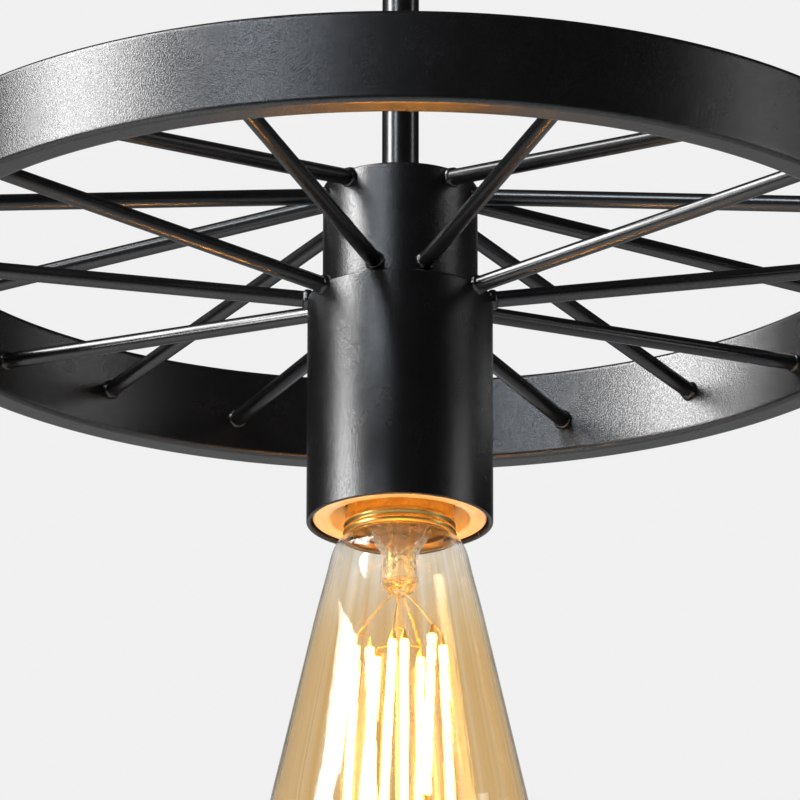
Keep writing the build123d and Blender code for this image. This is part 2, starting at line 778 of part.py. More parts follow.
# Mount: the flared glass stem that closes the neck, drawn out into a rod down the middle
with BuildPart() as mount:
    with BuildSketch(Plane.XZ):
        with BuildLine():
            Polyline(
                (0, cap_rim - mount_tip_depth),
                (0, neck_top),
                (neck_radius - glass_wall, neck_top),
                (neck_radius - glass_wall, neck_top - glass_wall),
            )
            Spline(
                (neck_radius - glass_wall, neck_top - glass_wall),
                (mount_flare_radius, cap_rim - mount_flare_depth),
                (mount_tube_radius, cap_rim - mount_waist_depth),
                tangents=(mount_skirt_slope, (0, -1)),
            )
            Line((mount_tube_radius, cap_rim - mount_waist_depth),
                 (mount_tube_radius, cap_rim - mount_tip_depth + mount_tip_rounding))
            EllipticalCenterArc((0, cap_rim - mount_tip_depth + mount_tip_rounding),
                                mount_tube_radius, mount_tip_rounding, 270,
                                arc_size=quarter_turn)
        make_face()
    revolve(axis=Axis.Z)
    with Locations((0, 0, cap_rim - glass_rod_end_depth)):
        Cylinder(glass_rod_radius, glass_rod_end_depth - mount_tip_depth + mount_tip_rounding,
                 align=STANDING)
save(mount.part, "lamp_mount")

# Driver: a round board in the cap with two leads down to the mount
with BuildPart() as board:
    with Locations((0, 0, cap_rim + board_height)):
        Cylinder(board_radius, board_thickness, align=STANDING)
    with Locations((0, 0, cap_rim + board_height + board_thickness)):
        Cylinder(capacitor_radius, capacitor_height, align=STANDING)
save(board.part, "driver_board")

with BuildPart() as leads:
    for x in (-lead_offset, lead_offset):
        with Locations((x, 0, neck_top)):
            Cylinder(lead_radius, board_height - neck_length, align=STANDING)
save(leads.part, "lamp_leads")

# Filaments: a slightly spreading ring of bars with a metal end each way, and the wires that hold them
filament_spread = filament_bottom_ring - filament_top_ring
filament_top = cap_rim - filament_top_depth
filament_bottom = filament_top - sqrt(filament_length**2 - filament_spread**2)
filament_angles = [360 / filament_count * (number + 0.5) for number in range(filament_count)]
end_share = filament_end_length / filament_length
end_spread = filament_spread * end_share
end_drop = (filament_top - filament_bottom) * end_share
wire_top_ring = filament_top_ring - end_spread
wire_top = filament_top + end_drop
wire_bottom_ring = filament_bottom_ring + end_spread
wire_bottom = filament_bottom - end_drop

with BuildPart() as filaments:
    for angle in filament_angles:
        add(between(on_ring(filament_top_ring, angle, filament_top),
                    on_ring(filament_bottom_ring, angle, filament_bottom), filament_radius))
save(filaments.part, "lamp_filaments")

with BuildPart() as filament_ends:
    for angle in filament_angles:
        add(between(on_ring(filament_top_ring, angle, filament_top),
                    on_ring(wire_top_ring, angle, wire_top), filament_end_radius))
        add(between(on_ring(filament_bottom_ring, angle, filament_bottom),
                    on_ring(wire_bottom_ring, angle, wire_bottom), filament_end_radius))
save(filament_ends.part, "lamp_filament_ends")

rod_foot = (0, 0, cap_rim - glass_rod_end_depth + glass_rod_radius)
mount_foot = (0, 0, cap_rim - mount_tip_depth + mount_tip_rounding)
with BuildPart() as support_wires:
    for number, angle in enumerate(filament_angles):
        next_angle = angle + 360 / filament_count
        if number % 2:
            add(between(on_ring(wire_top_ring, angle, wire_top),
                        on_ring(wire_top_ring, next_angle, wire_top), support_wire_radius))
            add(between(mount_foot, on_ring(wire_top_ring, angle, wire_top), support_wire_radius))
        else:
            add(between(on_ring(wire_bottom_ring, angle, wire_bottom),
                        on_ring(wire_bottom_ring, next_angle, wire_bottom), support_wire_radius))
            add(between(rod_foot, on_ring(wire_bottom_ring, angle, wire_bottom), support_wire_radius))
    add(mount.part, mode=Mode.SUBTRACT)
    add(filament_ends.part, mode=Mode.SUBTRACT)
save(support_wires.part, "lamp_support_wires")
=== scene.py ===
# %% [markdown]
# # A bicycle wheel chandelier
# The object is a ceiling light. A powder-coated steel ring hangs from the ceiling on a rod, and round
# bars join it to a drum in its middle, as spokes do on a wheel. Under the drum a steel cup holds a
# porcelain lampholder with one large amber filament lamp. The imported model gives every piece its
# place and its size, and this lesson dresses those pieces.

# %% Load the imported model
from math import radians

import bmesh
import bpy
import numpy as np
from mathutils import Euler, Matrix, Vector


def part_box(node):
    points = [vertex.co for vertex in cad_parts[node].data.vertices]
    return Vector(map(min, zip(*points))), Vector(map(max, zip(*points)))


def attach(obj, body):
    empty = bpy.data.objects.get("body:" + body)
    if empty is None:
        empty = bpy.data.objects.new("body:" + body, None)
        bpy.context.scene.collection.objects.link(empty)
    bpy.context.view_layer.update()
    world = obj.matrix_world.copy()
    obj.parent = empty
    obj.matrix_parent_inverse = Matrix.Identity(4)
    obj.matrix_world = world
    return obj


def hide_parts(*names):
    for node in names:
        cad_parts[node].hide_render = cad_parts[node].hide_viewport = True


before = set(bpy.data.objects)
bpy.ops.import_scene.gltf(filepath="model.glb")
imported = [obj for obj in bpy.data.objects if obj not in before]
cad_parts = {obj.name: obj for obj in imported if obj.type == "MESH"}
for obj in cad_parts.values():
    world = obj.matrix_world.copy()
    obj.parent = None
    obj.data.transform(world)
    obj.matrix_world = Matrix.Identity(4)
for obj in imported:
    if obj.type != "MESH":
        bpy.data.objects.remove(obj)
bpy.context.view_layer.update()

# %% [markdown]
# ## The camera
# The photograph was taken from below with a long lens, so the ring's far side is hardly smaller than
# its near side. A camera has to stand at the right distance first, and only then does its lens give
# the right size in the picture. Place, tilt and lens come from matching the ring, the drum and the
# cup, whose real sizes are known.

# %% Set the camera
camera_place = (0.0, -1.8793, -0.9451)
camera_tilt_up = radians(19.50)
camera_roll = radians(0.10)
camera_lens = 371.05            # millimetres, for a sensor 36 mm wide

camera = bpy.data.objects.new("camera", bpy.data.cameras.new("camera"))
camera.data.sensor_width = 36.0
camera.data.lens = camera_lens
camera.data.clip_end = 50.0
facing = Euler((radians(90) + camera_tilt_up, 0, 0)).to_matrix() @ Matrix.Rotation(camera_roll, 3, "Z")
camera.matrix_world = Matrix.Translation(camera_place) @ facing.to_4x4()
bpy.context.scene.collection.objects.link(camera)
bpy.context.scene.camera = camera
print("camera at", camera_place, "lens", camera_lens)

# %% [markdown]
# ## From a grid of points to a mesh
# Nearly every piece here is a surface of revolution or a bar, and both are grids: rows run along the
# piece and columns run round it. One helper turns such grids into a mesh. It joins the last column
# to the first, merges the points that meet on the axis, and makes all faces point outwards.

# %% Helper: mesh from grids
MM = 0.001                      # the sizes below are millimetres, and Blender's unit is the metre


def mesh_from_grids(name, grids, loop_rows=False, sharp_angle=40.0):
    """One object from grids of points in millimetres, each rows x columns x 3.

    Four neighbours in a grid make a face. The last column joins the first, and with loop_rows the
    last row joins the first as well, as on a ring.
    """
    points, faces, base = [], [], 0
    for grid in grids:
        rows, columns = grid.shape[:2]
        index = base + np.arange(rows * columns).reshape(rows, columns)
        below = np.roll(index, -1, 0) if loop_rows else index[1:]
        index = index if loop_rows else index[:-1]
        right, below_right = np.roll(index, -1, 1), np.roll(below, -1, 1)
        faces.append(np.stack([index, right, below_right, below], -1).reshape(-1, 4))
        points.append(grid.reshape(-1, 3) * MM)
        base += rows * columns
    mesh = bpy.data.meshes.new(name)
    mesh.from_pydata(np.concatenate(points), [], np.concatenate(faces))
    close_up(mesh, sharp_angle)
    thing = bpy.data.objects.new(name, mesh)
    bpy.context.scene.collection.objects.link(thing)
    print(f"{name}: {len(mesh.polygons)} faces")
    return thing


def close_up(mesh, sharp_angle):
    """Merge points that coincide, drop what has no face, turn faces outwards and shade smooth."""
    work = bmesh.new()
    work.from_mesh(mesh)
    bmesh.ops.remove_doubles(work, verts=work.verts, dist=2e-7)
    bmesh.ops.delete(work, geom=[e for e in work.edges if not e.link_faces], context="EDGES")
    bmesh.ops.recalc_face_normals(work, faces=work.faces)
    work.to_mesh(mesh)
    work.free()
    mesh.polygons.foreach_set("use_smooth", np.ones(len(mesh.polygons), bool))
    mesh.set_sharp_from_angle(angle=radians(sharp_angle))
    mesh.update()


# %% Helper: revolve an outline round an axis
def around(radius, level, columns=128, centre=(0.0, 0.0)):
    """Points at a distance radius from a vertical axis, at a height level, in equal steps round it.

    radius and level are arrays of rows, or of rows x columns where they change round the axis. The
    angle a starts at the front: x = radius times sin a, and y = minus radius times cos a.
    """
    angle = np.linspace(0, 2 * np.pi, columns, endpoint=False)
    radius, level = (v[:, None] if v.ndim == 1 else v for v in (radius, level))
    return np.stack([centre[0] + radius * np.sin(angle),
                     centre[1] - radius * np.cos(angle),
                     level + 0 * angle], -1)


def eased(corners, radii, steps=7, margin=0.12):
    """A closed outline through corners, each rounded by an arc of its own radius.

    At a corner whose sides enclose an angle w, the arc touches them at radius / tan(w/2) from the
    corner, and its centre lies on their bisector at radius / sin(w/2). One more point on each side,
    a margin away from the arc, keeps the flat beside it flat when the surface is shaded.
    """
    corners, radii = np.array(corners, float), np.array(radii, float)
    before, after = np.roll(corners, 1, 0) - corners, np.roll(corners, -1, 0) - corners
    length_before, length_after = np.linalg.norm(before, axis=1), np.linalg.norm(after, axis=1)
    before, after = before / length_before[:, None], after / length_after[:, None]
    opening = np.arccos(np.clip((before * after).sum(1), -1, 1))
    touch = radii / np.tan(opening / 2)
    free = length_after - touch - np.roll(touch, -1)
    ease_after = np.minimum(margin, 0.3 * free)
    ease_before = np.roll(ease_after, 1)
    bisector = before + after
    bisector /= np.linalg.norm(bisector, axis=1)[:, None]
    centre = corners + bisector * (radii / np.sin(opening / 2))[:, None]
    first = corners + before * touch[:, None] - centre
    last = corners + after * touch[:, None] - centre
    sweep = (np.pi - opening)[:, None, None]
    share = np.linspace(0, 1, steps)[None, :, None]
    arc = (np.sin((1 - share) * sweep) * first[:, None] + np.sin(share * sweep) * last[:, None])
    arc = centre[:, None] + arc / np.sin(sweep)
    lead_in = corners + before * (touch + ease_before)[:, None]
    lead_out = corners + after * (touch + ease_after)[:, None]
    return np.concatenate([lead_in[:, None], arc, lead_out[:, None]], 1).reshape(-1, 2)


def turned(name, outline, columns=128, centre=(0.0, 0.0)):
    """A turned or spun piece: a closed outline of radius and height, revolved round its axis."""
    return mesh_from_grids(name, [around(outline[:, 0], outline[:, 1], columns, centre)], loop_rows=True)


# %% Helper: dress a piece
def dress(thing, body, slot_name, material, *nodes):
    """Give a piece its material, the body that carries it and the CAD nodes it stands for."""
    thing.data.materials.clear()
    thing.data.materials.append(material)
    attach(thing, body)
    if nodes:
        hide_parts(*nodes)
    return thing


def smoothed(node, body, slot_name, material, sharp_angle=30.0):
    """A copy of a CAD node with its loose triangles merged, so that its curves shade smoothly."""
    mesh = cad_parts[node].data.copy()
    mesh.name = node + "_finished"
    close_up(mesh, sharp_angle)
    thing = bpy.data.objects.new(node + "_finished", mesh)
    bpy.context.scene.collection.objects.link(thing)
    print(f"{thing.name}: {len(mesh.polygons)} faces")
    return dress(thing, body, slot_name, material, node)


def levels(node):
    """The lowest and the highest level of a CAD node, in millimetres."""
    low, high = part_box(node)
    return low.z / MM, high.z / MM


# %% [markdown]
# ## Materials
# A material here is a Principled shader whose colour, roughness and relief come from noise on Object
# coordinates, so a pattern stays on its piece at any pose. Three small helpers keep each finish down
# to a few lines: a noise, a step from a noise to a value or a colour, and a relief.

# %% Helper: nodes for the finishes
def begin(name):
    """A new material with its node tree, its shader and its Object coordinates."""
    material = bpy.data.materials.new(name)
    material.use_nodes = True
    tree = material.node_tree
    place = tree.nodes.new("ShaderNodeTexCoord").outputs["Object"]
    return material, tree, tree.nodes["Principled BSDF"], place


def stretched(tree, place, scale):
    """Coordinates that are scaled by a different factor along x, y and z."""
    mapping = tree.nodes.new("ShaderNodeMapping")
    mapping.inputs["Scale"].default_value = scale
    tree.links.new(place, mapping.inputs["Vector"])
    return mapping.outputs["Vector"]


def grain(tree, place, size, detail=2.0, roughness=0.5):
    """Noise whose grains are about size millimetres across."""
    noise = tree.nodes.new("ShaderNodeTexNoise")
    noise.inputs["Scale"].default_value = 1 / (size * MM)
    noise.inputs["Detail"].default_value = detail
    noise.inputs["Roughness"].default_value = roughness
    tree.links.new(place, noise.inputs["Vector"])
    return noise.outputs["Fac"]


def graded(tree, source, low, high, start=0.3, end=0.7):
    """A value that goes from low to high while its source goes from start to end."""
    step = tree.nodes.new("ShaderNodeMapRange")
    for socket, value in (("From Min", start), ("From Max", end), ("To Min", low), ("To Max", high)):
        step.inputs[socket].default_value = value
    tree.links.new(source, step.inputs["Value"])
    return step.outputs["Result"]


def tinted(tree, source, first, second, start=0.3, end=0.7):
    """A colour that goes from the first to the second while its source goes from start to end."""
    ramp = tree.nodes.new("ShaderNodeValToRGB")
    ramp.color_ramp.elements[0].position, ramp.color_ramp.elements[1].position = start, end
    ramp.color_ramp.elements[0].color = (*first, 1)
    ramp.color_ramp.elements[1].color = (*second, 1)
    tree.links.new(source, ramp.inputs["Fac"])
    return ramp.outputs["Color"]


def raised(tree, shader, height, depth, under=None):
    """Relief of a depth in millimetres on the shader, on top of another relief if one is given."""
    bump = tree.nodes.new("ShaderNodeBump")
    bump.inputs["Distance"].default_value = depth * MM
    bump.inputs["Strength"].default_value = 1.0
    tree.links.new(height, bump.inputs["Height"])
    if under is not None:
        tree.links.new(under, bump.inputs["Normal"])
    tree.links.new(bump.outputs["Normal"], shader.inputs["Normal"])
    return bump.outputs["Normal"]


# %% [markdown]
# ### Black powder coat
# Ring, drum, cup and rose are powder-coated: the melted powder leaves a fine skin like orange peel,
# with grains of about 0.4 millimetres that sparkle where a light grazes them. A fine noise gives that
# relief and makes some grains shine more than others, and a coarser noise makes the gloss drift a
# little. The bars and the rod are the same black, but smoother.

# %% Black finishes
def black_finish(name, grain_size, depth, gloss, shine, colours):
    """Black paint: peel of a grain size and a depth in millimetres.

    gloss is the range of its roughness, and shine the range of how strongly its grains mirror.
    """
    material, tree, shader, place = begin(name)
    peel = grain(tree, place, grain_size, detail=3.0, roughness=0.6)
    drift = grain(tree, place, 9.0, detail=2.0)
    tree.links.new(tinted(tree, peel, *colours), shader.inputs["Base Color"])
    tree.links.new(graded(tree, drift, *gloss), shader.inputs["Roughness"])
    raised(tree, shader, peel, depth)
    tree.links.new(graded(tree, peel, *shine, 0.38, 0.62), shader.inputs["Specular IOR Level"])
    return material


powder_coat = black_finish("black_powder_coat", 0.40, 0.08, (0.23, 0.28), (0.78, 1.3),
                           ((0.0015, 0.0015, 0.0016), (0.004, 0.004, 0.0043)))
satin_paint = black_finish("black_satin", 0.6, 0.004, (0.22, 0.28), (0.9, 1.1),
                           ((0.002, 0.002, 0.0021), (0.004, 0.004, 0.0042)))
print("black finishes:", powder_coat.name, satin_paint.name)

# %% [markdown]
# ### Bare metals
# Zinc-plated steel, brass, solder and nickel wire are bare metal. Their colour is the metal's own,
# except the nickel wire's gold, which is painted glow of the filaments. Rolled or drawn lines run
# along them and vary their roughness, and a slow drift in colour stands for handling.

# %% Bare metals
def metal_finish(name, colours, gloss, line_scale=(1, 1, 0.15), line_size=0.5, depth=0.004):
    """Bare metal with fine lines, whose direction and length come from line_scale."""
    material, tree, shader, place = begin(name)
    lines = grain(tree, stretched(tree, place, line_scale), line_size, detail=3.0)
    drift = grain(tree, place, 4.0, detail=3.0, roughness=0.6)
    tree.links.new(tinted(tree, drift, *colours), shader.inputs["Base Color"])
    tree.links.new(graded(tree, lines, *gloss), shader.inputs["Roughness"])
    raised(tree, shader, lines, depth)
    shader.inputs["Metallic"].default_value = 1.0
    return material


zinc_steel = metal_finish("zinc_steel", ((0.42, 0.43, 0.42), (0.60, 0.61, 0.62)), (0.26, 0.42),
                          line_scale=(0.15, 1, 1))
brass = metal_finish("brass", ((0.78, 0.48, 0.13), (0.92, 0.66, 0.24)), (0.26, 0.42),
                     line_scale=(0.12, 0.12, 1.0), line_size=0.25)
solder = metal_finish("solder", ((0.48, 0.48, 0.47), (0.66, 0.66, 0.66)), (0.28, 0.5),
                      line_scale=(1, 1, 1), line_size=1.2, depth=0.05)
# The wire's gold colour is painted glow of the filaments, not the colour of nickel.
nickel_wire = metal_finish("nickel_wire", ((0.85, 0.56, 0.13), (0.95, 0.72, 0.24)), (0.28, 0.42))
print("metals:", zinc_steel.name, brass.name, solder.name, nickel_wire.name)

# %% [markdown]
# ### Porcelain, plastics and paints
# The lampholder's body is glazed porcelain, cream rather than white. The small insulating parts are
# nylon, vitrite glass, circuit board and the three colours of wire insulation.

# %% Porcelain and insulators
def coloured_finish(name, colours, gloss, size=1.5, depth=0.01, subsurface=0.0):
    """A solid-coloured material with a soft relief and a drift in colour and gloss."""
    material, tree, shader, place = begin(name)
    cloud = grain(tree, place, size, detail=3.0)
    tree.links.new(tinted(tree, cloud, *colours), shader.inputs["Base Color"])
    tree.links.new(graded(tree, cloud, *gloss), shader.inputs["Roughness"])
    raised(tree, shader, cloud, depth)
    shader.inputs["Subsurface Weight"].default_value = subsurface
    return material


porcelain = coloured_finish("porcelain", ((0.80, 0.69, 0.46), (0.86, 0.75, 0.52)), (0.14, 0.24), 3.0)
nylon = coloured_finish("nylon_white", ((0.78, 0.77, 0.72), (0.84, 0.83, 0.79)), (0.42, 0.55))
vitrite = coloured_finish("black_glass", ((0.008, 0.008, 0.012), (0.02, 0.018, 0.03)), (0.06, 0.14))
board_green = coloured_finish("board_green", ((0.02, 0.12, 0.05), (0.04, 0.20, 0.08)), (0.3, 0.45), 0.8)
wire_brown = coloured_finish("wire_brown", ((0.13, 0.055, 0.025), (0.16, 0.07, 0.032)), (0.35, 0.48))
wire_blue = coloured_finish("wire_blue", ((0.03, 0.12, 0.40), (0.04, 0.15, 0.46)), (0.35, 0.48))
print("insulators:", porcelain.name, nylon.name, vitrite.name, board_green.name)


# %% Green and yellow insulation
def striped_insulation(name, size):
    """Earth wire: bands of yellow on green that wind round it, from a wave on Object coordinates."""
    material, tree, shader, place = begin(name)
    wave = tree.nodes.new("ShaderNodeTexWave")
    wave.bands_direction = "X"
    wave.inputs["Scale"].default_value = 1 / (size * MM)
    tree.links.new(place, wave.inputs["Vector"])
    bands = tinted(tree, wave.outputs["Fac"], (0.02, 0.25, 0.04), (0.80, 0.62, 0.02), 0.48, 0.52)
    tree.links.new(bands, shader.inputs["Base Color"])
    cloud = grain(tree, place, 1.5)
    tree.links.new(graded(tree, cloud, 0.35, 0.48), shader.inputs["Roughness"])
    raised(tree, shader, cloud, 0.01)
    return material


wire_striped = striped_insulation("wire_green_yellow", 7.0)

# %% [markdown]
# ### Glass and light
# The lamp's glass carries an amber tint, weaker at the neck. That it deepens towards the belly is
# partly painted glow of the filaments, and darker and lighter stripes in the tint are painted
# reflections. Light has to leave the lamp, and a path tracer seldom finds the way through two curved
# walls by chance, so to shadow rays the glass is simply clear. The mount inside is clear glass,
# pressed hot, with a wavy surface, and its golden tint is painted glow of the filaments and the
# brass. The filaments are strips of tiny lamps in a glowing coat, so they are surfaces that emit.

# %% Glass
# The belly's deeper amber is partly painted glow of the filaments, and the stripes in the tint are
# painted reflections.
low_tint_and_glow = 0.72                 # share of the second colour that the belly reaches
reflection_streak_tint = 0.28              # how far a streak moves that share up or down
streak_width, streak_depth = 110.0, 0.035


def glass_finish(name, ripple_size, ripple_depth, colour=None, colours=None, span=None, clear=1.0):
    """Glass that bends light, and is clear to shadow rays.

    With two colours its tint changes with height over a span in millimetres: the amber is the
    glass's own, and its deepening lower down is partly painted glow of the filaments. The tint also
    has painted reflection stripes down the glass, and the relief has fine lines: their noise reads
    only the direction from the axis, so each stripe follows the wall. That direction is 1 unit
    long, so a grain of 110 is 0.11 of a unit wide.
    """
    material, tree, shader, place = begin(name)
    shader.inputs["Transmission Weight"].default_value = clear
    shader.inputs["Roughness"].default_value = 0.0
    shader.inputs["IOR"].default_value = 1.47
    if colours:
        height = tree.nodes.new("ShaderNodeSeparateXYZ")
        tree.links.new(place, height.inputs["Vector"])
        share = graded(tree, height.outputs["Z"], 0.0, low_tint_and_glow, span[0] * MM, span[1] * MM)
        outward = tree.nodes.new("ShaderNodeVectorMath")
        outward.operation = "NORMALIZE"
        tree.links.new(stretched(tree, place, (1, 1, 0)), outward.inputs[0])
        # painted reflection stripes in the tint
        reflection_streaks = grain(tree, outward.outputs["Vector"], streak_width, detail=4.0)
        both = tree.nodes.new("ShaderNodeMath")
        both.operation = "ADD"
        tree.links.new(share, both.inputs[0])
        tree.links.new(graded(tree, reflection_streaks, -reflection_streak_tint, reflection_streak_tint), both.inputs[1])
        tree.links.new(tinted(tree, both.outputs[0], *colours, 0.0, 1.0), shader.inputs["Base Color"])
        lines = grain(tree, outward.outputs["Vector"], streak_width / 2, detail=3.0)
        drawn = raised(tree, shader, lines, streak_depth)
    else:
        shader.inputs["Base Color"].default_value = (*colour, 1)
        drawn = None
    raised(tree, shader, grain(tree, place, ripple_size, detail=1.5), ripple_depth, under=drawn)
    open_way = tree.nodes.new("ShaderNodeBsdfTransparent")
    ray = tree.nodes.new("ShaderNodeLightPath")
    choice = tree.nodes.new("ShaderNodeMixShader")
    tree.links.new(ray.outputs["Is Shadow Ray"], choice.inputs["Fac"])
    tree.links.new(shader.outputs["BSDF"], choice.inputs[1])
    tree.links.new(open_way.outputs["BSDF"], choice.inputs[2])
    tree.links.new(choice.outputs["Shader"], tree.nodes["Material Output"].inputs["Surface"])
    return material


# the second colour, reached at the belly, is partly painted glow of the filaments
amber_glass = glass_finish("amber_glass", 14.0, 0.05, span=(-316.0, -342.0),
                           colours=((0.96, 0.92, 0.86), (0.82, 0.61, 0.31)))
# The mount's golden tint is painted glow of the filaments and the brass round it; the glass itself is
# clear.
clear_glass = glass_finish("clear_glass", 1.3, 0.32, colour=(1.0, 0.94, 0.78), clear=0.96)


# %% Glowing coat
def glowing_finish(name, colours, strength):
    """A coat that emits warm light and shows the row of tiny lamps under it."""
    material, tree, shader, place = begin(name)
    chips = grain(tree, place, 1.1, detail=1.0)
    coat = tinted(tree, chips, (1.0, 0.62, 0.22), (1.0, 0.80, 0.42))
    tree.links.new(coat, shader.inputs["Base Color"])
    tree.links.new(tinted(tree, chips, *colours, 0.35, 0.6), shader.inputs["Emission Color"])
    shader.inputs["Emission Strength"].default_value = strength
    shader.inputs["Roughness"].default_value = 0.5
    return material


filament_glow = glowing_finish("filament_glow", ((1.0, 0.40, 0.07), (1.0, 0.50, 0.12)), 40.0)
print("glass and glow:", amber_glass.name, clear_glass.name, filament_glow.name)

# %% [markdown]
# ## The ring
# The ring is a flat steel bar, 22.5 by 8 mm, rolled into a hoop with its ends welded and ground.
# Its corners are only eased. A rounded rectangle revolved round the axis gives it exactly.

# %% Ring
ring_bottom, ring_top = levels("wheel_ring")
ring_outer = 130.0
ring_thickness = 8.0
ring_inner = ring_outer - ring_thickness
ring_edge = 1.4
ring_outline = eased([(ring_outer, ring_bottom), (ring_outer, ring_top),
                      (ring_inner, ring_top), (ring_inner, ring_bottom)], [ring_edge] * 4, steps=9)
ring = turned("ring_finished", ring_outline, columns=320)
dress(ring, "frame", "black_powder_coat", powder_coat, "wheel_ring")

# %% [markdown]
# ## Drum and cup
# Both are pressed shells, closed at the top and open below, with a hole for the rod. A press leaves
# a small radius round the closed end, inside and outside, and a trimmed lower edge that is hardly
# broken. The same outline serves both, with the sizes of each.


# %% Drum and cup
def pressed_shell(radius, wall, plate, low, high, hole=4.2, edge=0.7):
    """The outline of a pressed shell: up its outside, over its top to the hole, and back inside."""
    inside = max(edge - 0.3, 0.2)
    return eased([(radius, low), (radius, high), (hole, high), (hole, high - plate),
                  (radius - wall, high - plate), (radius - wall, low)],
                 [0.25, edge, 0.15, 0.15, inside, 0.25])


drum_radius = 18.85
drum_bottom, drum_top = levels("hub_drum")
drum = turned("hub_drum_finished", pressed_shell(drum_radius, 1.5, 1.2, drum_bottom, drum_top))
dress(drum, "frame", "black_powder_coat", powder_coat, "hub_drum")

cup_radius = 22.5
cup_bottom, cup_top = levels("lamp_cup")
cup = turned("lamp_cup_finished", pressed_shell(cup_radius, 1.05, 1.2, cup_bottom, cup_top))
dress(cup, "frame", "black_powder_coat", powder_coat, "lamp_cup")

# %% [markdown]
# ## Spokes
# Eighteen round bars run from the hub to the ring, ten low ones and eight high ones. Each is cut to
# fit the curve of both walls and held by a bead of weld. Six of the low ones come in at the step
# between drum and cup: they are notched over the cup's corner and run on across its top to the drum.
# A weld bead is a low, lobed collar that is never quite round, so its reach changes round the bar.
# Bar and beads are one surface: the distance from the bar's axis is the bar's radius, plus the
# bead's where there is one.

# %% Spokes
spoke_radius = 2.0
bead_radius = 2.5
bead_length = 1.0
bury = 0.5                      # how far a bar's end reaches into the wall it is welded to
notch = 0.25                    # height over which a bar's columns change from cup to drum
fit_length = 4.0                # the stretch at each end that takes the wall's curve
bar_rows = [2.6, 5.0]           # distances from the wall where the plain bar begins
bar_columns = 40
shoulder = drum_bottom


def spoke_grid(angle, wall_radius, hub_level, ring_level, seed):
    """A bar with two weld beads, from a hub wall at hub_level to the ring's inside at ring_level.

    Round the bar the bead's reach is scaled by 1 plus three small sine waves. Along the bar it falls
    as a quarter of an ellipse: reach times the root of 1 minus (distance / length) squared. A point
    at a sideways distance u moves in by R minus the root of (R squared minus u squared), which fits
    the end to a wall of radius R. Where the wall is the cup's, the columns above the shoulder run on
    over the cup to the drum, and the others stop in the cup's wall.
    """
    start, finish = np.array([0, -wall_radius, hub_level]), np.array([0, -ring_inner, ring_level])
    run = np.linalg.norm(finish - start)
    along = (finish - start) / run
    side = np.array([1.0, 0, 0])
    up = np.cross(side, along)
    turn = np.linspace(0, 2 * np.pi, bar_columns, endpoint=False)[None, :]
    over_cup = (wall_radius - drum_radius) * np.clip(
        (hub_level + spoke_radius * np.sin(turn) * up[2] - shoulder) / notch, 0, 1)
    bead = np.linspace(0, 1.12, 13) * bead_length
    deepest = drum_radius - wall_radius - bury
    hub_rows = np.unique(np.maximum([deepest, *-bead[:0:-2], *bead, *bar_rows], deepest))
    ring_rows = run - np.concatenate([[-bury], bead, bar_rows])[::-1]
    station = np.concatenate([hub_rows, [run / 2], ring_rows])[:, None]
    station = np.maximum(station, -over_cup - bury)
    lobes = 1 + 0.16 * np.sin(5 * turn + seed) + 0.10 * np.sin(8 * turn + 2.3 * seed)
    lobes = lobes + 0.05 * np.sin(19 * turn + seed)
    from_wall = np.minimum(np.abs(station), np.clip(run - station, 0, None))
    fall = np.sqrt(np.clip(1 - (from_wall / (bead_length * (0.75 + 0.25 * lobes))) ** 2, 0, 1))
    radius = spoke_radius + (bead_radius - spoke_radius) * lobes * fall
    sideways = radius * np.cos(turn)
    at_hub = wall_radius - np.sqrt(wall_radius**2 - sideways**2)
    at_ring = ring_inner - np.sqrt(ring_inner**2 - sideways**2)
    at_ring = at_ring * np.clip(1 - (run - station) / fit_length, 0, 1)
    moved = -at_hub * np.clip(1 - station / fit_length, 0, 1) - at_ring
    grid = (start + (station + moved)[..., None] * along
            + sideways[..., None] * side + (radius * np.sin(turn))[..., None] * up)
    grid = np.concatenate([grid[:1] * 0 + grid[:1].mean(1, keepdims=True), grid,
                           grid[-1:] * 0 + grid[-1:].mean(1, keepdims=True)])
    c, s = np.cos(radians(angle)), np.sin(radians(angle))
    return grid @ np.array([[c, s, 0], [-s, c, 0], [0, 0, 1]])


# %% The eighteen bars
# on one side: angle from the front, radius of the wall, level there above the shoulder
ring_middle = (ring_bottom + ring_top) / 2
low_drop, high_drop = 2.4, 0.7  # the bars meet the ring this far below its middle
low_spokes = [(19.1, drum_radius, 3.5), (55.9, cup_radius, -0.8), (89.6, cup_radius, 0.0),
              (125.6, cup_radius, 1.5), (160.0, drum_radius, 4.0)]
high_spokes = [(41.6, drum_radius, 26.4), (73.2, drum_radius, 24.7), (105.3, drum_radius, 26.6),
               (142.9, drum_radius, 26.7)]
for row, drop, bars in (("low", low_drop, low_spokes), ("high", high_drop, high_spokes)):
    for place, (angle, wall_radius, rise) in enumerate(bars, start=1):
        for number, turned_to in ((len(bars) + place, angle), (len(bars) + 1 - place, -angle)):
            node = f"spoke_{row}_{number:02d}"
            grid = spoke_grid(turned_to, wall_radius, shoulder + rise, ring_middle - drop, 1.7 * number)
            spoke = mesh_from_grids(node + "_finished", [grid])
            dress(spoke, "frame", "black_satin", satin_paint, node)

# %% [markdown]
# ## Rod, collar and rose
# The rod is a tube whose turned ends carry the threads. A collar closes the hole in the rose, which
# is a spun steel cap with a full, soft edge. The rose's two cap nuts have a knurled skirt, so that
# fingers can turn them.

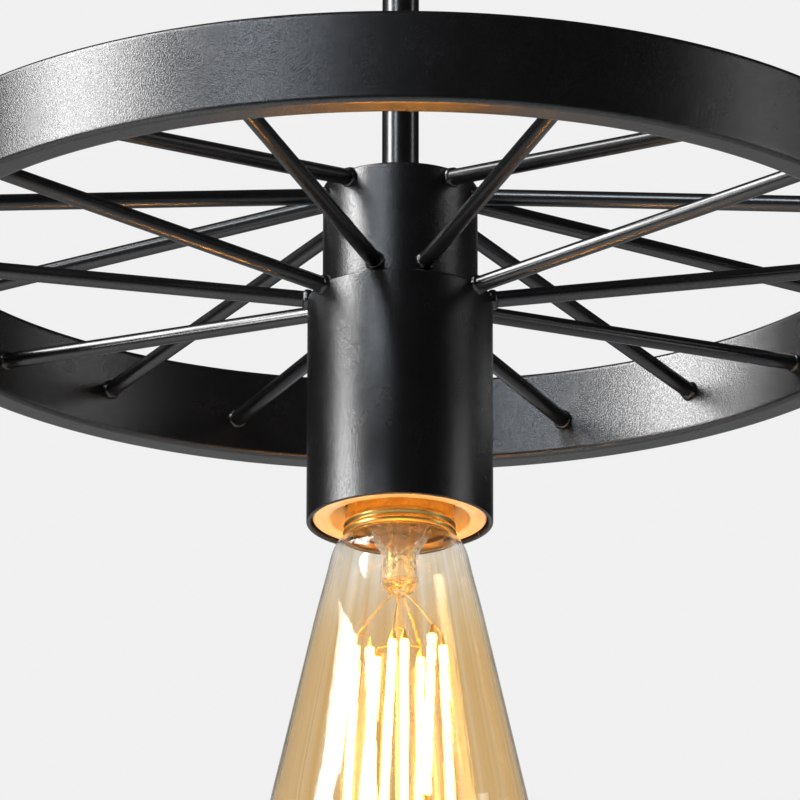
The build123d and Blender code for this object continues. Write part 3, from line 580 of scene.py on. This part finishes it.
# %% Rod and collar
rod_radius, rod_bore, rod_thread = 4.5, 3.0, 4.0
rod_end, rod_head = levels("rod")
collar_bottom, collar_top = levels("rod_collar")
rod = turned("rod_finished", eased([
    (rod_bore, rod_end), (rod_thread, rod_end), (rod_thread, drum_top), (rod_radius, drum_top),
    (rod_radius, collar_bottom), (rod_thread, collar_bottom), (rod_thread, rod_head),
    (rod_bore, rod_head),
], [0.1, 0.3, 0.05, 0.2, 0.2, 0.05, 0.3, 0.1]), columns=72)
dress(rod, "frame", "black_satin", satin_paint, "rod")

collar_radius, collar_bore = 7.5, 4.05
collar = turned("rod_collar_finished", eased([
    (collar_radius, collar_bottom), (collar_radius, collar_top),
    (collar_bore, collar_top), (collar_bore, collar_bottom),
], [1.2, 0.25, 0.2, 0.2]), columns=96)
dress(collar, "frame", "black_satin", satin_paint, "rod_collar")

# %% Rose
smoothed("ceiling_rose", "frame", "black_powder_coat", powder_coat)


# %% Cap nuts
nut_offset = 40.0               # of each nut from the rod's axis
nut_columns = 180


def cap_nut_grid(x, low, top, radius=5.0, teeth=30, knurl=0.16):
    """A domed nut: a dome of this radius under a skirt whose radius follows a fine wave."""
    dome = np.linspace(0, np.pi / 2, 14)
    skirt = np.linspace(low + radius, top, 12)[1:]
    level = np.concatenate([low + radius - radius * np.cos(dome), skirt, [top]])
    reach = np.concatenate([radius * np.sin(dome), np.full(len(skirt), radius), [0.0]])
    turn = np.linspace(0, 2 * np.pi, nut_columns, endpoint=False)[None, :]
    on_skirt = np.clip((level - low - radius) / 0.5, 0, 1) * np.clip((top - level) / 0.5, 0, 1)
    wave = knurl * (np.abs(np.sin(teeth / 2 * turn)) - 1) * on_skirt[:, None]
    return around(reach[:, None] + wave * (reach[:, None] > 0), level, nut_columns, (x, 0.0))


nut_low, nut_top = levels("rose_cap_nuts")
cap_nuts = mesh_from_grids("rose_cap_nuts_finished",
                           [cap_nut_grid(x, nut_low, nut_top) for x in (-nut_offset, nut_offset)])
dress(cap_nuts, "frame", "black_satin", satin_paint, "rose_cap_nuts")

# %% [markdown]
# ## Porcelain, strap and wiring
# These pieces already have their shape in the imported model. Their triangles are loose there, so a
# merged copy takes their place wherever a curved surface is seen, and it shades smoothly.

# %% Lampholder and ceiling fittings
for node in ("crossbar", "rose_screws", "rose_lock_nuts", "top_nut", "top_washer", "bottom_nut",
             "bottom_washer", "holder_strap", "holder_strap_screws", "earth_screw",
             "terminal_clamp_screws", "terminal_block_screw", "holder_terminal_screws"):
    smoothed(node, "frame", "zinc_steel", zinc_steel)
for node in ("contact_rivets", "holder_terminals", "terminal_clamps"):
    smoothed(node, "frame", "brass", brass)
smoothed("porcelain_body", "frame", "porcelain", porcelain)
smoothed("terminal_block", "frame", "nylon_white", nylon)
smoothed("live_wire", "frame", "wire_brown", wire_brown, sharp_angle=60)
smoothed("neutral_wire", "frame", "wire_blue", wire_blue, sharp_angle=60)
smoothed("earth_wire", "frame", "wire_green_yellow", wire_striped, sharp_angle=60)
smoothed("centre_contact", "contact_leaf", "brass", brass)
smoothed("driver_board", "lamp", "board_green", board_green)

# %% [markdown]
# ## The lamp's thread
# A lamp screws in with a rolled thread of rounded ridges, one turn every 3.62 mm. The ridge winds
# upwards to the right, as on any normal screw. Its height at a point depends only on the phase, the
# level in turns minus the angle in turns, so the cap and the screw shell use one function and stay
# in mesh when the lamp turns out.

# %% Helper: thread
thread_pitch = 3.62
thread_depth = 0.95
sheet_thickness = 0.42


def thread_ridge(level, columns, foot, head, fade=2.2):
    """How far the ridge stands out, from 0 to the thread's depth, at each level and angle.

    It is half of 1 plus the cosine of the phase, faded to nothing near the foot and the head.
    """
    turns = np.linspace(0, 1, columns, endpoint=False)[None, :]
    wave = 0.5 + 0.5 * np.cos(2 * np.pi * (level[:, None] / thread_pitch - turns))
    ease = np.clip((level - foot) / fade, 0, 1) * np.clip((head - level) / fade, 0, 1)
    ease = ease * ease * (3 - 2 * ease)
    return thread_depth * ease[:, None] * wave


def sheet_metal(name, inner, level):
    """A thin sleeve from its inner radius, rows x columns: outer wall up, inner wall back down."""
    radius = np.concatenate([inner + sheet_thickness, inner[::-1]])
    both = np.concatenate([level, level[::-1]])
    return mesh_from_grids(name, [around(radius, both, inner.shape[1])], loop_rows=True, sharp_angle=60)


# %% Lamp cap
cap_low, cap_high = levels("lamp_cap")
cap_columns = 120
# height above the rim, radius: rolled rim, groove, bead, plain skirt, threaded wall, top shoulder
cap_outline = np.array([
    (0.00, 13.15), (0.12, 13.45), (0.40, 13.65), (0.80, 13.70), (1.20, 13.62), (1.48, 13.38),
    (1.62, 13.12), (1.80, 13.10), (2.05, 13.16), (2.35, 13.42), (2.75, 13.58), (3.15, 13.50),
    (3.50, 13.24), (3.80, 13.10), (4.30, 13.10), (6.60, 13.10), (8.40, 12.15), (20.20, 12.15),
    (21.20, 13.00), (22.00, 12.90), (22.60, 12.40), (23.10, 11.90), (23.40, 11.60),
])
cap_heights = np.unique(np.concatenate([cap_outline[:, 0], np.linspace(5.0, 21.6, 110)]))
cap_level = cap_low + cap_heights
cap_base = np.interp(cap_heights, cap_outline[:, 0], cap_outline[:, 1])
cap_ridge = thread_ridge(cap_level, cap_columns, cap_low + 6.6, cap_low + 21.6)
cap_outer = cap_base[:, None] + cap_ridge
cap = sheet_metal("lamp_cap_finished", cap_outer - sheet_thickness, cap_level)
dress(cap, "lamp", "brass", brass, "lamp_cap")

# %% Screw shell
shell_low, shell_high = levels("screw_shell")
shell_heights = np.concatenate([[0, 0.15, 0.4, 0.8, 1.2], np.linspace(1.6, 18.0, 100), [18.2, 18.35]])
shell_level = shell_low + shell_heights
shell_base = np.interp(shell_heights, [0, 0.4, 1.2, 2.6, 17.0, 18.35],
                       [13.5, 13.35, 13.3, 12.36, 12.36, 13.2])
shell_ridge = thread_ridge(shell_level, cap_columns, shell_low + 1.2, shell_low + 18.35)
shell_inner = shell_base[:, None] + shell_ridge
shell_wall = sheet_metal("screw_shell_finished", shell_inner, shell_level)
dress(shell_wall, "frame", "brass", brass, "screw_shell")

# %% [markdown]
# ## Glass bulb
# The bulb is a straight-sided teardrop, blown from tube. Its outline leaves the neck, swells at the
# throat, runs straight down the taper, rounds out at the belly and ends in a flat dome. Wall and
# outline are worked out as one closed line, with the inside 0.9 mm in.


# %% Helper: smooth line between two points
def bent(start, finish, start_way, finish_way, steps):
    """Points on a cubic curve that leaves start along one way and reaches finish along the other."""
    start, finish, a, b = (np.array(v, float) for v in (start, finish, start_way, finish_way))
    span = np.linalg.norm(finish - start)
    a, b = a / np.linalg.norm(a) * span, b / np.linalg.norm(b) * span
    t = np.linspace(0, 1, steps)[:, None]
    return ((2 * t**3 - 3 * t**2 + 1) * start + (t**3 - 2 * t**2 + t) * a
            + (3 * t**2 - 2 * t**3) * finish + (t**3 - t**2) * b)


# %% Bulb
neck_radius = 12.3
neck_length = 7.0
bulb_wall = 0.9
dome_rows = 39


def bulb_line(inset):
    """Half the bulb's outline from the top of its neck to its tip, moved in by an inset."""
    lip, throat, top = (13.5, -0.6), (17.5, -9.5), (20.5, -21.5)
    end, belly, dome = (30.3, -64.5), (32.4, -83.0), 28.0 - inset
    taper = np.subtract(end, top)
    chord = np.subtract(top, throat)
    neck = np.array([(neck_radius, neck_length), (neck_radius, 4.0), (neck_radius, 0.8), (12.35, 0.2)])
    bow = np.linspace(0, np.pi / 2, dome_rows + 1)[1:, None]
    line = np.concatenate([
        neck,
        bent(lip, throat, (1, -0.55), chord, 16),
        bent(throat, top, chord, taper, 10)[1:],
        bent(top, end, taper, taper, 20)[1:],
        bent(end, belly, taper, (0, -1), 16)[1:],
        np.concatenate([belly[0] * np.cos(bow), belly[1] - dome * np.sin(bow)], 1),
    ])
    # the inset moves a point inwards, but not past the axis
    line[:, 0] = np.where(np.arange(len(line)) < len(line) - dome_rows, line[:, 0] - inset,
                          line[:, 0] * (belly[0] - inset) / belly[0])
    line[-1, 0] = 0.0
    return line + np.array([0, cap_low])


bulb_outline = np.concatenate([bulb_line(0)[::-1], bulb_line(bulb_wall)])
bulb = mesh_from_grids("lamp_glass_finished", [around(bulb_outline[:, 0], bulb_outline[:, 1], 160)],
                       sharp_angle=80)
dress(bulb, "lamp", "amber_glass", amber_glass, "lamp_glass")

# %% [markdown]
# ## Mount, filaments and wires
# The mount is a glass tube flared at its foot to close the neck and pinched at its end round the
# wires. A thin exhaust tube stands inside it and a glass rod hangs below it. Eight filaments stand
# round the rod, each with flat metal ends that support wires hold. They were set by hand, so each has
# its own angle and height, and those come from the photograph.

# %% Mount
flare_line = np.concatenate([
    bent((0.0, -15.2), (4.6, -11.5), (1, 0), (0, 1), 12),
    bent((4.6, -11.5), (4.1, -5.5), (0, 1), (0.05, 1), 8)[1:],
    bent((4.1, -5.5), (6.7, -0.7), (0.05, 1), (0.5, 1), 10)[1:],
    bent((6.7, -0.7), (11.3, 5.9), (0.5, 1), (1, 0.2), 16)[1:],
    [(11.4, 6.2), (11.3, 6.8), (10.8, 7.0)],
    bent((10.8, 7.0), (5.7, -0.3), (-1, -0.2), (-0.5, -1), 16)[1:],
    bent((5.7, -0.3), (3.2, -5.5), (-0.5, -1), (-0.05, -1), 10)[1:],
    bent((3.2, -5.5), (3.6, -10.6), (-0.05, -1), (0, -1), 8)[1:],
    bent((3.6, -10.6), (0.0, -12.8), (0, -1), (-1, 0), 10)[1:],
])
exhaust_line = np.array([(0.0, 6.2), (1.6, 6.2), (1.6, -4.0), (1.3, -10.8), (0.0, -11.4)])
rod_line = np.array([(0.0, -15.1), (1.0, -15.3), (0.95, -40.0), (1.0, -60.0), (1.0, -76.6), (1.6, -77.2),
                     (1.6, -78.2), (1.0, -79.0), (0.0, -79.2)])
mount = mesh_from_grids("lamp_mount_finished", [
    around(line[:, 0], cap_low + line[:, 1], 64) for line in (flare_line, exhaust_line, rod_line)
], sharp_angle=60)
dress(mount, "lamp", "clear_glass", clear_glass, "lamp_mount")


# %% Helper: bars and wires
def bar_grid(path, radius, columns=16, flat=1.0):
    """A bar along a path of points, closed at both ends.

    At each point, across is square to the path and to the direction away from the lamp's axis, and
    the bar may be thinner along the third direction by the factor flat.
    """
    path = np.asarray(path, float)
    way = np.gradient(path, axis=0)
    way /= np.linalg.norm(way, axis=1)[:, None]
    outward = path * (1, 1, 0) + (1e-3, 2e-3, 0)      # never quite zero, not even on the axis
    across = np.cross(way, outward)
    across /= np.linalg.norm(across, axis=1)[:, None]
    other = np.cross(across, way)
    turn = np.linspace(0, 2 * np.pi, columns, endpoint=False)[None, :, None]
    radius = np.broadcast_to(radius, len(path))[:, None, None]
    offset = np.cos(turn) * across[:, None] + flat * np.sin(turn) * other[:, None]
    grid = path[:, None] + radius * offset
    ends = [np.repeat(path[k][None, None], columns, 1) for k in (0, -1)]
    return np.concatenate([ends[0], grid, ends[1]])


def on_ring(radius, angle, depth):
    """A point round the lamp's axis at a depth below the cap's rim."""
    return np.array([radius * np.sin(radians(angle)), -radius * np.cos(radians(angle)), cap_low - depth])


# %% Filaments and their ends
# angle of the head from the front, depth of the head, angle of the foot
filament_places = [(-150, 27.5, -137), (-82, 28.0, -84), (-42, 30.4, -30), (-9, 29.2, -17),
                   (6, 29.2, 5), (47, 26.8, 31), (80, 28.0, 84), (151, 27.4, 157)]
filament_length = 41.5
head_radius, foot_radius = 10.5, 12.5
coat_radius = 1.05
share = np.array([0, 0.004, 0.012, 0.025, 0.25, 0.5, 0.75, 0.975, 0.988, 0.996, 1.0])[:, None]
swell = np.array([0.5, 0.78, 0.93, 1, 1, 1, 1, 1, 0.93, 0.78, 0.5])
tip_reach = np.array([-0.2, 0.3, 1.1, 2.0, 2.6])[:, None]
tip_radius = np.array([0.95, 0.95, 0.66, 0.34, 0.16])
wire_seat = 2.4                 # a wire is welded on this far past the coat
coats, tips, upper_ends, lower_ends = [], [], [], []
for head_angle, head_depth, foot_angle in filament_places:
    head = on_ring(head_radius, head_angle, head_depth)
    sideways = np.linalg.norm(on_ring(foot_radius, foot_angle, head_depth) - head)
    foot = on_ring(foot_radius, foot_angle, head_depth + np.sqrt(filament_length**2 - sideways**2))
    coats.append(bar_grid(head + share * (foot - head), coat_radius * swell, 20))
    away = (head - foot) / filament_length
    for end, way, ends in ((head, away, upper_ends), (foot, -away, lower_ends)):
        tips.append(bar_grid(end + tip_reach * way, tip_radius, 12, flat=0.45))
        ends.append(end + wire_seat * way)
filaments = mesh_from_grids("lamp_filaments_finished", coats, sharp_angle=70)
dress(filaments, "lamp", "filament_glow", filament_glow, "lamp_filaments")
filament_ends = mesh_from_grids("lamp_filament_ends_finished", tips)
dress(filament_ends, "lamp", "nickel_wire", nickel_wire, "lamp_filament_ends")

# %% Support wires and leads
wire_radius = 0.15
foot_share = 0.12               # a wire starts this part of the way out from the axis to its filament
wires = []
t = np.linspace(0, 1, 9)[:, None]
# filament ends, the first that shares its wire with the next, depth where the wires start, their bow
for ends, first, depth, rise in ((upper_ends, 1, 14.4, 0.6), (lower_ends, 0, 77.4, -0.6)):
    bow = 4 * t * (1 - t) * (0, 0, rise)
    for number in range(first, len(ends), 2):
        here, there = ends[number], ends[(number + 1) % len(ends)]
        foot = foot_share * here * (1, 1, 0) + (0, 0, cap_low - depth)
        wires.append(bar_grid(here + t * (there - here) + bow, wire_radius, 8))
        wires.append(bar_grid(foot + t * (here - foot) + bow, wire_radius, 8))
support_wires = mesh_from_grids("lamp_support_wires_finished", wires, sharp_angle=80)
dress(support_wires, "lamp", "nickel_wire", nickel_wire, "lamp_support_wires")

lead_paths = [np.array([(x, 0.01, 12.0), (x, 0.01, 7.0), (0.95 * x, 0.01, 2.0), (0.9 * x, 0.01, -6.0),
                        (0.8 * x, 0.01, -11.0), (0.6 * x, 0.01, -14.6)]) + (0, 0, cap_low)
              for x in (-2.4, 2.4)]
leads = mesh_from_grids("lamp_leads_finished", [bar_grid(path, 0.35, 12) for path in lead_paths])
dress(leads, "lamp", "nickel_wire", nickel_wire, "lamp_leads")

# %% [markdown]
# ## Insulator and tip contact
# A lamp cap ends in a black glass insulator with a button of solder at its centre. The button was
# soldered by hand or machine, so it is a low dome rather than a disc.

# %% Insulator and tip contact
glass_low, glass_high = levels("lamp_insulator")
insulator = turned("lamp_insulator_finished", eased([
    (0, glass_low), (11.7, glass_low), (11.5, glass_low + 0.35), (8.0, glass_low + 1.5),
    (5.2, glass_high), (0, glass_high),
], [0, 0.2, 0.15, 1.5, 0.25, 0]), columns=96)
dress(insulator, "lamp_carriage", "black_glass", vitrite, "lamp_insulator")

tip_low, tip_high = levels("lamp_tip_contact")
tip = turned("lamp_tip_contact_finished", eased([
    (0, tip_low), (4.6, tip_low), (4.55, tip_low + 0.6), (3.4, tip_high - 0.15), (0, tip_high),
], [0, 0.2, 0.35, 1.0, 0]), columns=64)
dress(tip, "lamp_carriage", "solder", solder, "lamp_tip_contact")

# %% [markdown]
# ## Light and room
# The photograph has a white background and soft light from two tall softboxes: a strong one at the
# left, which draws the broad soft stripe on drum, cup and ring, and a weaker one at the right. One
# high at the left adds to the white streak down the glass, and a narrow, bluish one lights the
# ring's front. A softbox is an area light. The warm light comes from the filaments alone.
#
# Black paint shows no white room, so the studio round the object has to be dark. The world is white
# to the camera and through glass, and dark to a reflection, which finds it bright only where it
# looks nearly straight on into the backdrop. The floor lies a ceiling's height below.

# %% Softboxes
wheel_centre = np.array([0, 0, -0.27])


def softbox(name, azimuth, elevation, distance, size, energy, colour=(1, 1, 1)):
    """An area light that faces the wheel, placed by its azimuth from the front and its elevation."""
    light = bpy.data.lights.new(name, "AREA")
    light.shape = "RECTANGLE"
    light.size, light.size_y = size
    light.energy, light.color = energy, colour
    box = bpy.data.objects.new(name, light)
    a, e = radians(azimuth), radians(elevation)
    back = np.array([np.sin(a) * np.cos(e), -np.cos(a) * np.cos(e), np.sin(e)])
    box.location = wheel_centre + distance * back
    box.rotation_euler = (radians(90) - e, 0, a)
    box.visible_camera = False
    bpy.context.scene.collection.objects.link(box)
    print(name, "at", [round(v, 2) for v in box.location])


softbox("softbox_left", -71, 24, 2.8, (0.92, 3.6), 152.0)
softbox("softbox_high", -92, 40, 1.5, (0.7, 0.36), 6.0)
softbox("softbox_right", 82, 5, 2.8, (0.5, 2.2), 9.0)
softbox("softbox_narrow", -31, 31, 2.6, (0.4, 0.8), 13.5, (0.82, 0.9, 1.0))

# %% Background and floor
backdrop_grey = 0.875
ambient_strength = 0.16         # of the world to light that the object scatters
dark_strength = 0.04            # of the world to a reflection
straight_on = (0.88, 1.0)       # the reflection's Y, from where the backdrop shows to where it is full
floor_level, floor_half = -2.4, 8.0

world = bpy.data.worlds.new("room")
bpy.context.scene.world = world
world.use_nodes = True
nodes, links = world.node_tree.nodes, world.node_tree.links
ambient, backdrop = nodes["Background"], nodes.new("ShaderNodeBackground")
ambient.inputs["Color"].default_value = (0.80, 0.85, 0.92, 1)
ambient.inputs["Strength"].default_value = ambient_strength
backdrop.inputs["Color"].default_value = (backdrop_grey, backdrop_grey, backdrop_grey, 1)
direction = nodes.new("ShaderNodeSeparateXYZ")
links.new(nodes.new("ShaderNodeTexCoord").outputs["Generated"], direction.inputs["Vector"])
reflected = nodes.new("ShaderNodeBackground")
strength = graded(world.node_tree, direction.outputs["Y"], dark_strength, backdrop_grey, *straight_on)
links.new(strength, reflected.inputs["Strength"])
ray = nodes.new("ShaderNodeLightPath")
either = nodes.new("ShaderNodeMath")
either.operation = "MAXIMUM"
links.new(ray.outputs["Is Camera Ray"], either.inputs[0])
links.new(ray.outputs["Is Transmission Ray"], either.inputs[1])
shown = ambient
for seen_by, background in ((ray.outputs["Is Glossy Ray"], reflected),
                            (either.outputs[0], backdrop)):
    choice = nodes.new("ShaderNodeMixShader")
    links.new(seen_by, choice.inputs["Fac"])
    links.new(shown.outputs[0], choice.inputs[1])
    links.new(background.outputs[0], choice.inputs[2])
    shown = choice
links.new(shown.outputs[0], nodes["World Output"].inputs["Surface"])

floor_mesh = bpy.data.meshes.new("floor")
floor_mesh.from_pydata([(x * floor_half, y * floor_half, floor_level)
                        for x, y in ((-1, -1), (1, -1), (1, 1), (-1, 1))], [], [(0, 1, 2, 3)])
floor = bpy.data.objects.new("floor", floor_mesh)
bpy.context.scene.collection.objects.link(floor)
floor_paint, tree, shader, _ = begin("pale_floor")
shader.inputs["Base Color"].default_value = (0.86, 0.86, 0.86, 1)
shader.inputs["Roughness"].default_value = 0.9
below = tree.nodes.new("ShaderNodeNewGeometry")
see_through = tree.nodes.new("ShaderNodeBsdfTransparent")
one_sided = tree.nodes.new("ShaderNodeMixShader")
tree.links.new(below.outputs["Backfacing"], one_sided.inputs["Fac"])
tree.links.new(shader.outputs["BSDF"], one_sided.inputs[1])
tree.links.new(see_through.outputs["BSDF"], one_sided.inputs[2])
tree.links.new(one_sided.outputs["Shader"], tree.nodes["Material Output"].inputs["Surface"])
floor_mesh.materials.append(floor_paint)

# %% Colours
bpy.context.scene.view_settings.view_transform = "Standard"
